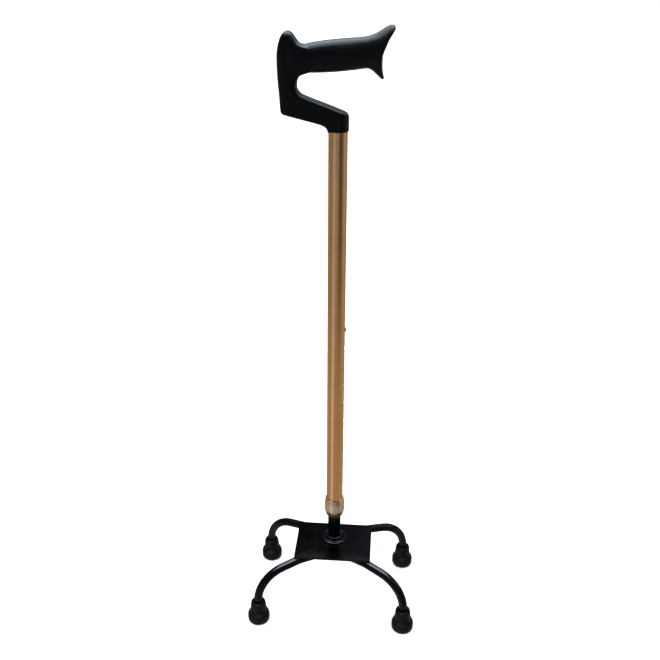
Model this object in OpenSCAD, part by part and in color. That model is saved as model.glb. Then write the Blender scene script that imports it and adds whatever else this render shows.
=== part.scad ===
// Quad walking cane: moulded handle, telescoping shaft and a small four-footed base.
// Origin: centre of the base on the floor.  +X is the way the grip points, +Z is up.

/* [Shaft] */
// Outside diameter of the outer tube
outer_d = 21.2; // [21:0.1:21.4]
// Wall of the outer tube
outer_wall = 1.4; // [1.2:0.1:1.5]
// Height of the outer tube's top end at the lowest setting
outer_top_z = 630.5; // [625:0.5:640]
// Outside diameter of the inner tube
inner_d = 16.8; // [16.6:0.1:17]
// Wall of the inner tube
inner_wall = 1.5; // [1.3:0.1:1.6]
// Height of the inner tube's top end
inner_top_z = 432; // [425:1:440]
// How far the shaft stands behind the centre of the base
stem_y = 4; // [0:0.5:6]

/* [Height setting] */
// Height of the snap button
button_z = 396.6; // [390:0.1:400]
// Distance from one setting to the next
hole_step = 25.4; // [25:0.1:25.4]
// Number of settings
hole_count = 10; // [2:1:10]
// Diameter of the snap button
button_d = 6; // [5:0.1:6.4]
// How far the button stands out of the outer tube
button_proud = 1.6; // [1:0.1:4]

/* [Locking collar] */
// Largest diameter of the lock nut
nut_d = 26.4; // [26:0.1:28]
// Height of the lock nut's lower end
nut_z = 126; // [124:0.5:128]

/* [Base] */
// Length of the base plate
plate_x = 99.6; // [96:0.2:104]
// Depth of the base plate
plate_y = 73.4; // [70:0.2:76]
// Thickness of the base plate
plate_t = 2.8; // [2.5:0.1:4]
// Height of the base plate's top
plate_top_z = 86.4; // [84:0.2:90]
// Outside diameter of the leg tubes
leg_d = 11; // [10.4:0.1:11.4]
// Distance between the left and right feet
foot_span_x = 189.4; // [184:0.2:196]
// Distance between the front and back feet
foot_span_y = 126.4; // [124:0.2:130]

/* [Tips] */
// Largest diameter of a rubber tip
tip_d = 28.4; // [27:0.1:30]
// Height of a rubber tip
tip_h = 30.8; // [29:0.1:33]

/* [Handle] */
// Thickness of the handle's arm and neck
arm_t = 24; // [23.6:0.2:25]
// Width of the grip
grip_w = 28; // [26:0.5:32]
// Length of the spigot inside the outer tube
spigot_l = 36; // [30:1:45]

/* [Hidden] */

$fn = 64;
eps = 0.01;

// Radii that several pieces share
outer_r = outer_d / 2;
outer_bore_r = outer_r - outer_wall;
inner_r = inner_d / 2;
inner_bore_r = inner_r - inner_wall;
running_gap = 0.08;

// Screw that fixes the handle
screw_r = 1.9;
screw_drop = 16;
screw_head_r = 3.4;

// Locking collar, from the bottom up
nut_h = 27;
nut_shoulder = 11;
nut_cone = 9;
nut_mouth_r = 9.7;
nut_top_r = 11.9;
thread_r = 10.2;
tube_end_z = nut_z + 15;
collet_z = nut_z + 6;
collet_plug_h = 22;
ring_z = nut_z + 3.2;
ring_h = 2.6;

// Snap clip
button_bore_r = button_d / 2 + 0.15;
hole_r = button_d / 2 + 0.25;
clip_w = 6;
clip_t = 0.6;
clip_h = 30;
clip_x = inner_bore_r - 0.9;
clip_gap = 0.15;
button_tip_h = 1.4;

// Base
leg_r = leg_d / 2;
leg_wall = 1.5;
leg_z = plate_top_z - plate_t - leg_r;
plate_shift = -3.2;
leg_mid_half = 12;
plan_bend_r = 16;
plan_angle = 28.8;
dip_r = 30;
dip_angle = 11;
drop_r = 43;
drop_angle = 90 - dip_angle;
slope_run = 21;
leg_end_z = 6;
plan_x = leg_mid_half + plan_bend_r * sin(plan_angle);
dip_reach = dip_r * sin(dip_angle) + slope_run * cos(dip_angle)
          + drop_r * (1 - sin(dip_angle));
flat_run = (foot_span_x / 2 - plan_x) / cos(plan_angle) - dip_reach;
leg_start_y = foot_span_y / 2 - plan_bend_r * (1 - cos(plan_angle))
            - (flat_run + dip_reach) * sin(plan_angle);
hub_r = 16.8;
hub_flange_h = 3;
hub_neck_r = 10.2;
hub_h = 6.4;
plug_h = 26;
bolt_r = 4;
bolt_head_r = 7.5;
bolt_head_h = 5.3;
washer_r = 10;
washer_t = 1.6;
tip_washer_t = 1.2;

// Points along a cubic Bezier curve, without its last point
function bezier(a, b, c, d, n = 8) = [
    for (i = [0 : n - 1])
        let (t = i / n, s = 1 - t)
            a * s * s * s + b * 3 * s * s * t + c * 3 * s * t * t + d * t * t * t
];

// Points along an arc, from one angle to the other
function arc(centre, r, from, to, n = 6) = [
    for (i = [0 : n])
        let (t = from + (to - from) * i / n)
            centre + r * [cos(t), sin(t)]
];

// ---------------------------------------------------------------- handle

// Side outline of the arm, the neck and the horn, as X and Z
function arm_outline() = concat(
    [[12, 630.5], [12, 645.4]],
    bezier([12, 645.4], [11.8, 648.8], [7.4, 650], [3, 651.5]),
    bezier([3, 651.5], [-12, 657.7], [-25, 661.4], [-38, 666.8]),
    bezier([-38, 666.8], [-42.2, 668.8], [-44.4, 672.4], [-44.4, 677.2]),
    bezier([-44.4, 677.2], [-44.4, 683], [-41.5, 688.6], [-34, 689.9]),
    bezier([-34, 689.9], [-32, 690.1], [-30, 690.2], [-28, 690.3], 4),
    [[-20, 700], [-26, 714]],
    bezier([-30, 718.8], [-38.5, 717], [-42, 719], [-45.4, 724.4]),
    bezier([-45.4, 724.4], [-48, 728.8], [-50, 731.4], [-53.4, 731.4]),
    bezier([-53.4, 731.4], [-59.8, 731.4], [-63.1, 720], [-64.4, 709.5], 10),
    bezier([-64.4, 709.5], [-65.2, 694], [-63.1, 668], [-60.9, 652.4]),
    bezier([-60.9, 652.4], [-60.2, 649], [-58.8, 647.8], [-54.8, 647]),
    bezier([-54.8, 647], [-43, 644], [-31, 641.4], [-19.4, 638.4]),
    bezier([-19.4, 638.4], [-15.4, 637.4], [-12, 636], [-10.9, 632], 6),
    [[-10.9, 630.5]]
);

// One cross-section of the grip: top and bottom points, middle X and half width
function grip_ring(top, bottom, mid_x, half_w, n = 28) = [
    for (i = [0 : n - 1])
        let (
            a = 360 * i / n,
            z_mid = (top[1] + bottom[1]) / 2,
            z_half = (top[1] - bottom[1]) / 2,
            lean = (top[0] - bottom[0]) / 2,
            bow = (top[0] + bottom[0]) / 2 - mid_x
        )
            [mid_x + lean * sin(a) + bow * sin(a) * sin(a), half_w * cos(a), z_mid + z_half * sin(a)]
];

// Sections from inside the neck to the rim of the flared end
function grip_rings() =
    let (
        tops = concat(
            bezier([-44, 716.6], [-20, 724.4], [6, 724.4], [26, 726.6], 7),
            bezier([26, 726.6], [38, 728.6], [45, 736.2], [51.4, 738.6], 7),
            [[51.4, 738.6], [56.8, 736.8], [58, 733.4]]
        ),
        bottoms = concat(
            bezier([-44, 691.6], [-20, 689.2], [6, 692], [30, 695.4], 7),
            bezier([30, 695.4], [35, 695.4], [39.4, 688.4], [44.2, 686], 7),
            [[44.2, 686], [46.6, 686.2], [47, 688.2]]
        ),
        middles = concat(
            bezier([-44, 0], [-20, 0], [4, 0], [22, 0], 7),
            bezier([22, 0], [30, 0], [34, 0], [42.4, 0], 7),
            [[42.4, 0], [44.6, 0], [44.9, 0]]
        ),
        widths = concat(
            bezier([-44, 0.37], [-30, 0.44], [6, 0.54], [24, 0.5], 7),
            bezier([24, 0.5], [32, 0.48], [40, 0.55], [44, 0.58], 7),
            [[44, 0.58], [45, 0.56], [45, 0.53]]
        )
    ) [
        for (i = [0 : len(tops) - 1])
            grip_ring(tops[i], bottoms[i], middles[i][0], grip_w * widths[i][1])
    ];

// Closed skin over a list of rings with the same number of points
module skin(rings) {
    n = len(rings[0]);
    last = len(rings) - 1;
    points = [for (ring = rings) each ring];
    sides = [
        for (k = [0 : last - 1], i = [0 : n - 1])
            let (j = (i + 1) % n)
                each [[k * n + i, (k + 1) * n + j, k * n + j],
                      [k * n + i, (k + 1) * n + i, (k + 1) * n + j]]
    ];
    first_cap = [for (i = [1 : n - 2]) [0, i, i + 1]];
    last_cap = [for (i = [1 : n - 2]) [last * n, last * n + i + 1, last * n + i]];
    polyhedron(points, concat(sides, first_cap, last_cap));
}

// Skin over rings that close on themselves, out along the outside and back along the bore
module looped_skin(rings) {
    n = len(rings[0]);
    count = len(rings);
    points = [for (ring = rings) each ring];
    polyhedron(points, [
        for (k = [0 : count - 1], i = [0 : n - 1])
            let (j = (i + 1) % n, m = (k + 1) % count)
                each [[k * n + i, m * n + j, k * n + j], [k * n + i, m * n + i, m * n + j]]
    ]);
}

module handle() {
    color("#1c1d20")
    translate([0, stem_y, 0]) {
        intersection() {
            rotate([90, 0, 0])
                linear_extrude(arm_t, center = true)
                    polygon(arm_outline());
            union() {
                translate([0, 0, outer_top_z])
                    cylinder(r = 12, h = 60);
                translate([-80, -20, outer_top_z])
                    cube([80, 40, 120]);
            }
        }
        skin(grip_rings());
        difference() {
            translate([0, 0, outer_top_z - spigot_l])
                cylinder(r = outer_bore_r - eps, h = spigot_l + 4);
            translate([0, 0, outer_top_z - screw_drop])
                rotate([-90, 0, 0])
                    cylinder(r = screw_r, h = 20);
        }
    }
}

// Self-tapping screw through the back of the tube into the spigot
module handle_screw() {
    color("#8f9196")
    translate([0, stem_y, outer_top_z - screw_drop])
        rotate([-90, 0, 0]) {
            translate([0, 0, 1])
                cylinder(r = screw_r, h = outer_r - 1);
            difference() {
                translate([0, 0, outer_r])
                    cylinder(r1 = screw_head_r, r2 = screw_head_r - 0.6, h = 1.6);
                translate([0, 0, outer_r + 1.3])
                    cube([4, 0.9, 1.6], center = true);
                translate([0, 0, outer_r + 1.3])
                    cube([0.9, 4, 1.6], center = true);
            }
        }
}

// ---------------------------------------------------------------- shaft

module outer_tube() {
    color("#b8813f")
    translate([0, stem_y, 0])
        difference() {
            translate([0, 0, tube_end_z])
                cylinder(r = outer_r, h = outer_top_z - tube_end_z);
            translate([0, 0, tube_end_z - 1])
                cylinder(r = outer_bore_r, h = outer_top_z - tube_end_z + 2);
            for (i = [0 : hole_count - 1])
                translate([0, 0, button_z - i * hole_step])
                    rotate([0, 90, 0])
                        cylinder(r = hole_r, h = 2 * outer_r);
            translate([0, 0, outer_top_z - screw_drop])
                rotate([-90, 0, 0])
                    cylinder(r = screw_r + 0.05, h = 2 * outer_r);
        }
}

// Threaded plastic bush pressed into the tube's lower end, with a split collet below
module collet_bush() {
    color("#d8d4c8")
    translate([0, stem_y, 0])
        difference() {
            union() {
                translate([0, 0, tube_end_z])
                    cylinder(r = outer_bore_r - eps, h = collet_plug_h);
                translate([0, 0, collet_z])
                    cylinder(r = thread_r, h = tube_end_z - collet_z);
            }
            translate([0, 0, collet_z - 1])
                cylinder(r = inner_r + running_gap, h = collet_plug_h + 20);
            for (turn = [0, 60, 120])
                rotate([0, 0, turn])
                    translate([-outer_r, -0.5, collet_z - 1])
                        cube([2 * outer_r, 1, 6]);
            translate([outer_bore_r - 3, -4, button_z - (hole_count - 1) * hole_step - 4])
                cube([6, 8, 60]);
        }
}

module lock_nut() {
    cone_top = nut_z + nut_h - nut_cone;
    color("#d9c39a")
    translate([0, stem_y, 0])
        rotate_extrude()
            polygon(concat(
                [[inner_r + 0.35, nut_z]],
                bezier([nut_mouth_r, nut_z], [nut_mouth_r + 1.4, nut_z + 1],
                       [nut_d / 2, nut_z + nut_shoulder - 4],
                       [nut_d / 2, nut_z + nut_shoulder]),
                bezier([nut_d / 2, cone_top], [nut_d / 2, cone_top + 3],
                       [nut_top_r + 0.6, nut_z + nut_h - 3], [nut_top_r, nut_z + nut_h]),
                [
                    [nut_top_r, nut_z + nut_h],
                    [outer_r + running_gap, nut_z + nut_h],
                    [outer_r + running_gap, tube_end_z - 0.4],
                    [thread_r + running_gap, tube_end_z - 0.4],
                    [thread_r + running_gap, nut_z + 2],
                    [inner_r + 0.35, nut_z + 2]
                ]
            ));
}

// Nylon ring that the nut drives against the collet
module compression_ring() {
    color("#eceae2")
    translate([0, stem_y, ring_z])
        difference() {
            cylinder(r = thread_r - 0.1, h = ring_h);
            translate([0, 0, -1])
                cylinder(r = inner_r + running_gap, h = ring_h + 2);
        }
}

module inner_tube() {
    color("#202124")
    translate([0, stem_y, 0])
        difference() {
            translate([0, 0, plate_top_z])
                cylinder(r = inner_r, h = inner_top_z - plate_top_z);
            translate([0, 0, plate_top_z - 1])
                cylinder(r = inner_bore_r, h = inner_top_z - plate_top_z + 2);
            translate([0, 0, button_z])
                rotate([0, 90, 0])
                    cylinder(r = button_bore_r, h = 2 * inner_r);
        }
}

// Glide on the inner tube's top end, which keeps it central in the outer tube
module guide_bush() {
    color("#3a3b40")
    translate([0, stem_y, inner_top_z])
        difference() {
            union() {
                cylinder(r = outer_bore_r - running_gap, h = 6);
                translate([0, 0, -14])
                    cylinder(r = inner_bore_r - eps, h = 14.5);
            }
            translate([0, 0, -15])
                cylinder(r = 4.6, h = 30);
        }
}

// V-shaped leaf spring inside the inner tube: one leaf carries the button
module snap_spring() {
    color("#c9ccd1")
    translate([0, stem_y, button_z])
        rotate([90, 0, 0])
            linear_extrude(clip_w, center = true)
                difference() {
                    polygon(concat(
                        [[clip_x, 8]],
                        [[clip_x, -6]],
                        arc([0, -clip_h + 4], 3.4, -20, -160, 8),
                        [[-clip_x, 8]]
                    ));
                    polygon(concat(
                        [[clip_x - clip_t, 8 + eps]],
                        [[clip_x - clip_t, -6]],
                        arc([0, -clip_h + 4], 3.4 - clip_t, -20, -160, 8),
                        [[-clip_x + clip_t, 8 + eps]]
                    ));
                }
}

module snap_button() {
    base_x = clip_x + clip_gap;
    tip_x = outer_r + button_proud - button_tip_h;
    color("#a9abb0")
    translate([0, stem_y, button_z])
        rotate([0, 90, 0]) {
            translate([0, 0, base_x])
                cylinder(r = button_d / 2, h = tip_x - base_x);
            translate([0, 0, tip_x])
                cylinder(r1 = button_d / 2, r2 = button_d / 2 - 1.2, h = button_tip_h);
        }
}

// ---------------------------------------------------------------- base

// Threaded insert pressed into the inner tube's lower end
module stem_plug() {
    color("#8f9196")
    translate([0, stem_y, plate_top_z])
        difference() {
            cylinder(r = inner_bore_r - eps, h = plug_h);
            translate([0, 0, -1])
                cylinder(r = bolt_r + eps, h = plug_h + 2);
        }
}

// Turned flange that holds the stem upright on the plate
module stem_hub() {
    color("#26272a")
    translate([0, stem_y, plate_top_z])
        rotate_extrude()
            polygon(concat(
                [[inner_r + eps, 0], [hub_r, 0]],
                arc([hub_r - 2, hub_flange_h - 2], 2, 0, 90),
                arc([hub_neck_r + 1.6, hub_flange_h - 0.1], 1.6, -40, -180, 5),
                arc([hub_neck_r - 1.8, hub_h - 1.8], 1.8, 0, 90),
                [[inner_r + eps, hub_h]]
            ));
}

module base_plate() {
    corner = 2.5;
    color("#1a1b1e")
    difference() {
        translate([0, plate_shift, plate_top_z - plate_t])
            linear_extrude(plate_t)
                polygon([
                    for (q = [[1, 1, 0], [-1, 1, 90], [-1, -1, 180], [1, -1, 270]])
                        each arc([q[0] * (plate_x / 2 - corner), q[1] * (plate_y / 2 - corner)],
                                 corner, q[2], q[2] + 90, 6)
                ]);
        translate([0, stem_y, plate_top_z - 2 * plate_t])
            cylinder(r = bolt_r + 0.3, h = 3 * plate_t);
    }
}

module stem_bolt() {
    color("#8f9196")
    translate([0, stem_y, plate_top_z - plate_t - washer_t]) {
        cylinder(r = bolt_r, h = 27);
        translate([0, 0, -bolt_head_h])
            cylinder(r = bolt_head_r, h = bolt_head_h, $fn = 6);
    }
}

module stem_washer() {
    color("#a9abb0")
    translate([0, stem_y, plate_top_z - plate_t - washer_t])
        difference() {
            cylinder(r = washer_r, h = washer_t);
            translate([0, 0, -1])
                cylinder(r = bolt_r + 0.2, h = washer_t + 2);
        }
}

// Right half of a leg tube's centreline, from the middle outwards.  Each entry is the
// point, the heading in plan away from +X, and the angle of descent.
function leg_half() =
    let (
        bend_end = [plan_x, leg_start_y + plan_bend_r * (1 - cos(plan_angle)), leg_z],
        outward = [cos(plan_angle), sin(plan_angle), 0],
        drop_start = flat_run + dip_r * sin(dip_angle) + slope_run * cos(dip_angle),
        drop_start_z = -dip_r * (1 - cos(dip_angle)) - slope_run * sin(dip_angle)
    )
        concat(
            [
                for (a = [0 : plan_angle / 5 : plan_angle + eps])
                    [[leg_mid_half + plan_bend_r * sin(a),
                      leg_start_y + plan_bend_r * (1 - cos(a)), leg_z], a, 0]
            ],
            [
                for (a = [0 : dip_angle / 3 : dip_angle + eps])
                    [bend_end + (flat_run + dip_r * sin(a)) * outward
                     - [0, 0, dip_r * (1 - cos(a))], plan_angle, a]
            ],
            [
                for (a = [0 : drop_angle / 10 : drop_angle + eps])
                    let (slant = dip_angle + a)
                        [bend_end
                         + (drop_start + drop_r * (sin(slant) - sin(dip_angle))) * outward
                         + [0, 0, drop_start_z - drop_r * (cos(dip_angle) - cos(slant))],
                         plan_angle, slant]
            ],
            [
                [[foot_span_x / 2, foot_span_y / 2, leg_end_z], plan_angle, 90]
            ]
        );

// Whole centreline, from the left foot to the right foot
function leg_line() =
    let (half = leg_half(), last = len(half) - 1)
        concat(
            [
                for (i = [last : -1 : 0])
                    [[-half[i][0][0], half[i][0][1], half[i][0][2]], -half[i][1], -half[i][2]]
            ],
            half
        );

// Ring of points round one entry of the centreline
function leg_ring(entry, r, n = 16) =
    let (
        ahead = [cos(entry[1]) * cos(entry[2]), sin(entry[1]) * cos(entry[2]), -sin(entry[2])],
        across = [-sin(entry[1]), cos(entry[1]), 0],
        up = cross(ahead, across)
    ) [
        for (i = [0 : n - 1])
            entry[0] + r * (cos(360 * i / n) * across + sin(360 * i / n) * up)
    ];

// A bent tube: a straight middle under the plate and a foot at each end
module leg_tube() {
    line = leg_line();
    last = len(line) - 1;
    color("#1a1b1e")
        looped_skin(concat(
            [for (i = [0 : last]) leg_ring(line[i], leg_r)],
            [for (i = [last : -1 : 0]) leg_ring(line[i], leg_r - leg_wall)]
        ));
}

module front_leg_tube() {
    mirror([0, 1, 0])
        leg_tube();
}

module back_leg_tube() {
    leg_tube();
}

// Weld beads along both sides of each tube, under the plate
module leg_welds() {
    bead_l = 22;
    color("#1a1b1e")
    for (front = [0, 1], side = [-1, 1])
        mirror([0, front, 0])
            translate([-bead_l / 2, leg_start_y + side * 3.6, plate_top_z - plate_t])
                rotate([0, 90, 0])
                    difference() {
                        cylinder(r = 1.8, h = bead_l);
                        translate([-4, -4, -1])
                            cube([4, 8, bead_l + 2]);
                        translate([leg_r, -side * 3.6, -1])
                            cylinder(r = leg_r, h = bead_l + 2);
                    }
}

// ---------------------------------------------------------------- tips

module at_foot(left, back) {
    translate([(left ? -1 : 1) * foot_span_x / 2, (back ? 1 : -1) * foot_span_y / 2, 0])
        children();
}

module tip() {
    r = tip_d / 2;
    neck_r = 9.7;
    neck_z = 24.5;
    color("#2b2c2f")
    rotate_extrude()
        polygon(concat(
            [[0, 0], [r - 3.2, 0]],
            bezier([r - 2.4, 0], [r - 0.9, 0.2], [r - 0.2, 1.6], [r - 0.1, 4], 5),
            bezier([r - 0.1, 4], [r, 5.5], [r, 7], [r, 8.8], 3),
            bezier([r, 8.8], [r, 10.8], [r - 1.2, 12.6], [r - 2.2, 14.4], 6),
            bezier([r - 2.2, 14.4], [r - 3.8, 17.6], [neck_r + 0.6, 19], [neck_r + 0.4, neck_z], 6),
            bezier([neck_r + 0.4, neck_z], [neck_r + 0.3, 26], [neck_r, 27], [neck_r, 27.4], 3),
            bezier([neck_r, 27.4], [neck_r, tip_h - 1], [neck_r - 0.8, tip_h],
                   [leg_r + 1.4, tip_h], 6),
            [
                [leg_r + 1.4, tip_h],
                [leg_r + eps, tip_h],
                [leg_r + eps, leg_end_z - tip_washer_t],
                [0, leg_end_z - tip_washer_t]
            ]
        ));
}

module tip_washer() {
    color("#a9abb0")
    translate([0, 0, leg_end_z - tip_washer_t])
        cylinder(r = leg_r - 0.1, h = tip_washer_t);
}

module front_left_tip() {
    at_foot(true, false) tip();
}

module front_right_tip() {
    at_foot(false, false) tip();
}

module back_left_tip() {
    at_foot(true, true) tip();
}

module back_right_tip() {
    at_foot(false, true) tip();
}

module front_left_tip_washer() {
    at_foot(true, false) tip_washer();
}

module front_right_tip_washer() {
    at_foot(false, false) tip_washer();
}

module back_left_tip_washer() {
    at_foot(true, true) tip_washer();
}

module back_right_tip_washer() {
    at_foot(false, true) tip_washer();
}

handle();
handle_screw();
outer_tube();
collet_bush();
lock_nut();
compression_ring();
inner_tube();
guide_bush();
snap_spring();
snap_button();
stem_plug();
stem_hub();
base_plate();
stem_bolt();
stem_washer();
front_leg_tube();
back_leg_tube();
leg_welds();
front_left_tip();
front_right_tip();
back_left_tip();
back_right_tip();
front_left_tip_washer();
front_right_tip_washer();
back_left_tip_washer();
back_right_tip_washer();
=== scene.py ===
"""Looks of the quad walking cane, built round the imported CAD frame.

Lengths in the shape code are millimetres in the CAD frame; meshes are stored in metres.
"""
import math

import bpy
import bmesh
import numpy as np
from mathutils import Matrix, Vector


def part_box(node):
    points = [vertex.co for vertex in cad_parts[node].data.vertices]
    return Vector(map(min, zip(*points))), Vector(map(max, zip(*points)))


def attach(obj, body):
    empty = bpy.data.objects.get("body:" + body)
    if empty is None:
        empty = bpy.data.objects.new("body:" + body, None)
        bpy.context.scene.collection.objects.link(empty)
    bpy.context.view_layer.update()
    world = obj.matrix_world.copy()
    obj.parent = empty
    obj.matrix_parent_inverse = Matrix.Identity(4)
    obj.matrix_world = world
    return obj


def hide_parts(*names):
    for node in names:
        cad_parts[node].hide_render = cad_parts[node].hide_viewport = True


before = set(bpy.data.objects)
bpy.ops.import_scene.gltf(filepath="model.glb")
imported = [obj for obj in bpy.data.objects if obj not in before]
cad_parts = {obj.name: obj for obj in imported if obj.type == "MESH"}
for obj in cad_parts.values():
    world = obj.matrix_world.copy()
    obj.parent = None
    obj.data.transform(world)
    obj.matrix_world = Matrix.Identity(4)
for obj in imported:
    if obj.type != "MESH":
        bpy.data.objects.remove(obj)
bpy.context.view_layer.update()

MM = 0.001


def box_mm(node):
    """Lowest and highest corner of a CAD node, in millimetres."""
    low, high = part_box(node)
    return np.array(low) / MM, np.array(high) / MM


# ------------------------------------------------------------------ node graphs

class Graph:
    """Short way to build a shader node tree."""

    def __init__(self, tree):
        self.tree = tree
        tree.nodes.clear()

    def node(self, kind, inputs=None, **settings):
        made = self.tree.nodes.new("ShaderNode" + kind)
        for key, value in settings.items():
            setattr(made, key, value)
        for key, value in (inputs or {}).items():
            socket = made.inputs[key]
            if isinstance(value, bpy.types.NodeSocket):
                self.tree.links.new(value, socket)
            else:
                socket.default_value = value
        return made

    def math(self, operation, a, b=0.0):
        return self.node("Math", {0: a, 1: b}, operation=operation).outputs[0]

    def remap(self, value, low, high, to_low=0.0, to_high=1.0):
        """Smooth step of value from low..high onto to_low..to_high."""
        return self.node("MapRange", {"Value": value, "From Min": low, "From Max": high,
                                      "To Min": to_low, "To Max": to_high},
                         interpolation_type="SMOOTHSTEP").outputs[0]

    def band(self, value, centre, half, soft):
        """1 within half of centre, falling to 0 over soft."""
        away = self.math("ABSOLUTE", self.math("SUBTRACT", value, centre))
        return self.remap(away, half, half + soft, 1.0, 0.0)

    def noise(self, scale, detail=2.0, stretch=(1, 1, 1), roughness=0.5):
        """Noise in object space; scale is in repeats a metre."""
        place = self.node("Mapping", {"Vector": self.place(), "Scale": stretch})
        return self.node("TexNoise", {"Vector": place.outputs[0], "Scale": scale,
                                      "Detail": detail, "Roughness": roughness}).outputs["Fac"]

    def place(self):
        """Position in the piece's own space."""
        return self.node("TexCoord").outputs["Object"]

    def mix(self, factor, a, b):
        """Colour a where factor is 0, colour b where it is 1."""
        made = self.node("Mix", {0: factor}, data_type="RGBA")
        for index, colour in ((6, a), (7, b)):
            if isinstance(colour, bpy.types.NodeSocket):
                self.tree.links.new(colour, made.inputs[index])
            else:
                made.inputs[index].default_value = (*colour, 1.0)
        return made.outputs[2]

    def bump(self, height, strength, distance, before=None):
        """Normal tilted by a height; distance is in metres."""
        inputs = {"Height": height, "Strength": strength, "Distance": distance}
        if before is not None:
            inputs["Normal"] = before
        return self.node("Bump", inputs).outputs[0]


def material(name, build, **fixed):
    """New material: build(graph) returns the linked sockets, fixed are plain socket values."""
    made = bpy.data.materials.new(name)
    made.use_nodes = True
    graph = Graph(made.node_tree)
    shader = graph.node("BsdfPrincipled")
    output = graph.node("OutputMaterial")
    graph.tree.links.new(shader.outputs[0], output.inputs[0])
    for key, value in fixed.items():
        socket = shader.inputs[key.replace("_", " ")]
        socket.default_value = (*value, 1.0) if isinstance(value, tuple) else value
    for key, socket in build(graph).items():
        graph.tree.links.new(socket, shader.inputs[key])
    made.diffuse_color = tuple(shader.inputs["Base Color"].default_value)
    return made


def worn_edges(g, low=0.53, high=0.62):
    """Mask of convex edges, broken up by noise."""
    edges = g.remap(g.node("NewGeometry").outputs["Pointiness"], low, high)
    return g.math("MULTIPLY", edges, g.remap(g.noise(260, 4), 0.42, 0.62))


def handle_plastic(g):
    grain = g.noise(1500, 3, roughness=0.6)
    cloud = g.noise(45, 3)
    edge = worn_edges(g, 0.51, 0.58)
    rough = g.math("ADD", g.remap(cloud, 0.3, 0.7, 0.28, 0.38),
                   g.math("MULTIPLY", edge, -0.06))
    y = g.node("SeparateXYZ", {0: g.place()}).outputs[1]
    seam = g.band(y, STEM_Y * MM, 0.00012, 0.00022)
    bump = g.bump(grain, 0.16, 0.00012)
    bump = g.bump(seam, 0.35, 0.00012, bump)
    colour = g.mix(cloud, (0.0022, 0.0024, 0.0029), (0.0036, 0.0039, 0.0046))
    colour = g.mix(g.math("MULTIPLY", edge, 0.3), colour, (0.010, 0.011, 0.013))
    return {"Base Color": colour, "Roughness": rough, "Normal": bump}


def drawn_metal(base, light, stretch, rough=(0.16, 0.26)):
    """Anodised metal with fine lines along or round the axis."""
    def build(g):
        lines = g.noise(1.0, 5, stretch, roughness=0.62)
        cloud = g.noise(28, 3)
        scratch = g.remap(g.noise(1.0, 3, tuple(s * 0.45 for s in stretch)), 0.63, 0.70)
        edge = worn_edges(g)
        colour = g.mix(g.remap(cloud, 0.3, 0.72, 0.0, 0.55), base, light)
        colour = g.mix(g.math("MULTIPLY", scratch, 0.18), colour, light)
        colour = g.mix(g.math("MULTIPLY", edge, 0.6), colour, (0.72, 0.66, 0.58))
        rough_at = g.math("ADD", g.remap(lines, 0.3, 0.7, *rough),
                          g.math("MULTIPLY", scratch, 0.07))
        return {"Base Color": colour, "Roughness": rough_at,
                "Normal": g.bump(lines, 0.10, 0.00006)}
    return build


def coated_steel(g):
    peel = g.noise(620, 2)
    fine = g.noise(2600, 2)
    cloud = g.noise(34, 3)
    edge = worn_edges(g, 0.54, 0.63)
    colour = g.mix(cloud, (0.0008, 0.0009, 0.0011), (0.0014, 0.0015, 0.0018))
    colour = g.mix(g.math("MULTIPLY", edge, 0.30), colour, (0.022, 0.022, 0.024))
    rough = g.math("ADD", g.remap(cloud, 0.3, 0.7, 0.18, 0.25),
                   g.math("MULTIPLY", edge, 0.10))
    bump = g.bump(fine, 0.05, 0.00005, g.bump(peel, 0.10, 0.00014))
    return {"Base Color": colour, "Roughness": rough, "Normal": bump}


def tube_coat(g):
    lines = g.noise(1.0, 4, (900, 900, 9), roughness=0.6)
    cloud = g.noise(40, 3)
    rub = g.remap(g.noise(1.0, 3, (420, 420, 5)), 0.60, 0.70)
    colour = g.mix(cloud, (0.0012, 0.0013, 0.0016), (0.0022, 0.0024, 0.0028))
    colour = g.mix(g.math("MULTIPLY", rub, 0.25), colour, (0.015, 0.015, 0.016))
    return {"Base Color": colour, "Roughness": g.remap(lines, 0.3, 0.7, 0.17, 0.28),
            "Normal": g.bump(lines, 0.08, 0.00005)}


def rubber(g):
    grain = g.noise(2100, 3, roughness=0.65)
    cloud = g.noise(120, 4)
    z = g.node("SeparateXYZ", {0: g.place()}).outputs[2]
    dust = g.math("MULTIPLY", g.remap(z, 0.0005, 0.0065, 1.0, 0.0),
                  g.remap(cloud, 0.40, 0.62, 0.1, 1.0))
    edge = worn_edges(g, 0.52, 0.60)
    colour = g.mix(cloud, (0.0013, 0.0014, 0.0017), (0.0024, 0.0026, 0.0030))
    colour = g.mix(g.math("MULTIPLY", edge, 0.35), colour, (0.016, 0.017, 0.019))
    colour = g.mix(g.math("MULTIPLY", dust, 0.35), colour, (0.030, 0.028, 0.025))
    rough = g.math("ADD", g.remap(cloud, 0.3, 0.7, 0.40, 0.50), g.math("MULTIPLY", dust, 0.2))
    return {"Base Color": colour, "Roughness": rough, "Normal": g.bump(grain, 0.30, 0.00012)}


def plain_plastic(low, high, rough):
    def build(g):
        grain = g.noise(1700, 2)
        cloud = g.noise(150, 3)
        return {"Base Color": g.mix(cloud, low, high),
                "Roughness": g.remap(cloud, 0.3, 0.7, rough - 0.06, rough + 0.06),
                "Normal": g.bump(grain, 0.12, 0.00008)}
    return build


def plated_steel(low, high, rough):
    def build(g):
        spangle = g.node("TexVoronoi", {"Vector": g.place(), "Scale": 900.0}).outputs["Distance"]
        cloud = g.noise(320, 4)
        grain = g.noise(3000, 2)
        return {"Base Color": g.mix(g.remap(cloud, 0.3, 0.7), low, high),
                "Roughness": g.math("ADD", g.remap(cloud, 0.3, 0.7, rough - 0.07, rough + 0.05),
                                    g.math("MULTIPLY", spangle, 0.08)),
                "Normal": g.bump(grain, 0.08, 0.00004)}
    return build


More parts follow.
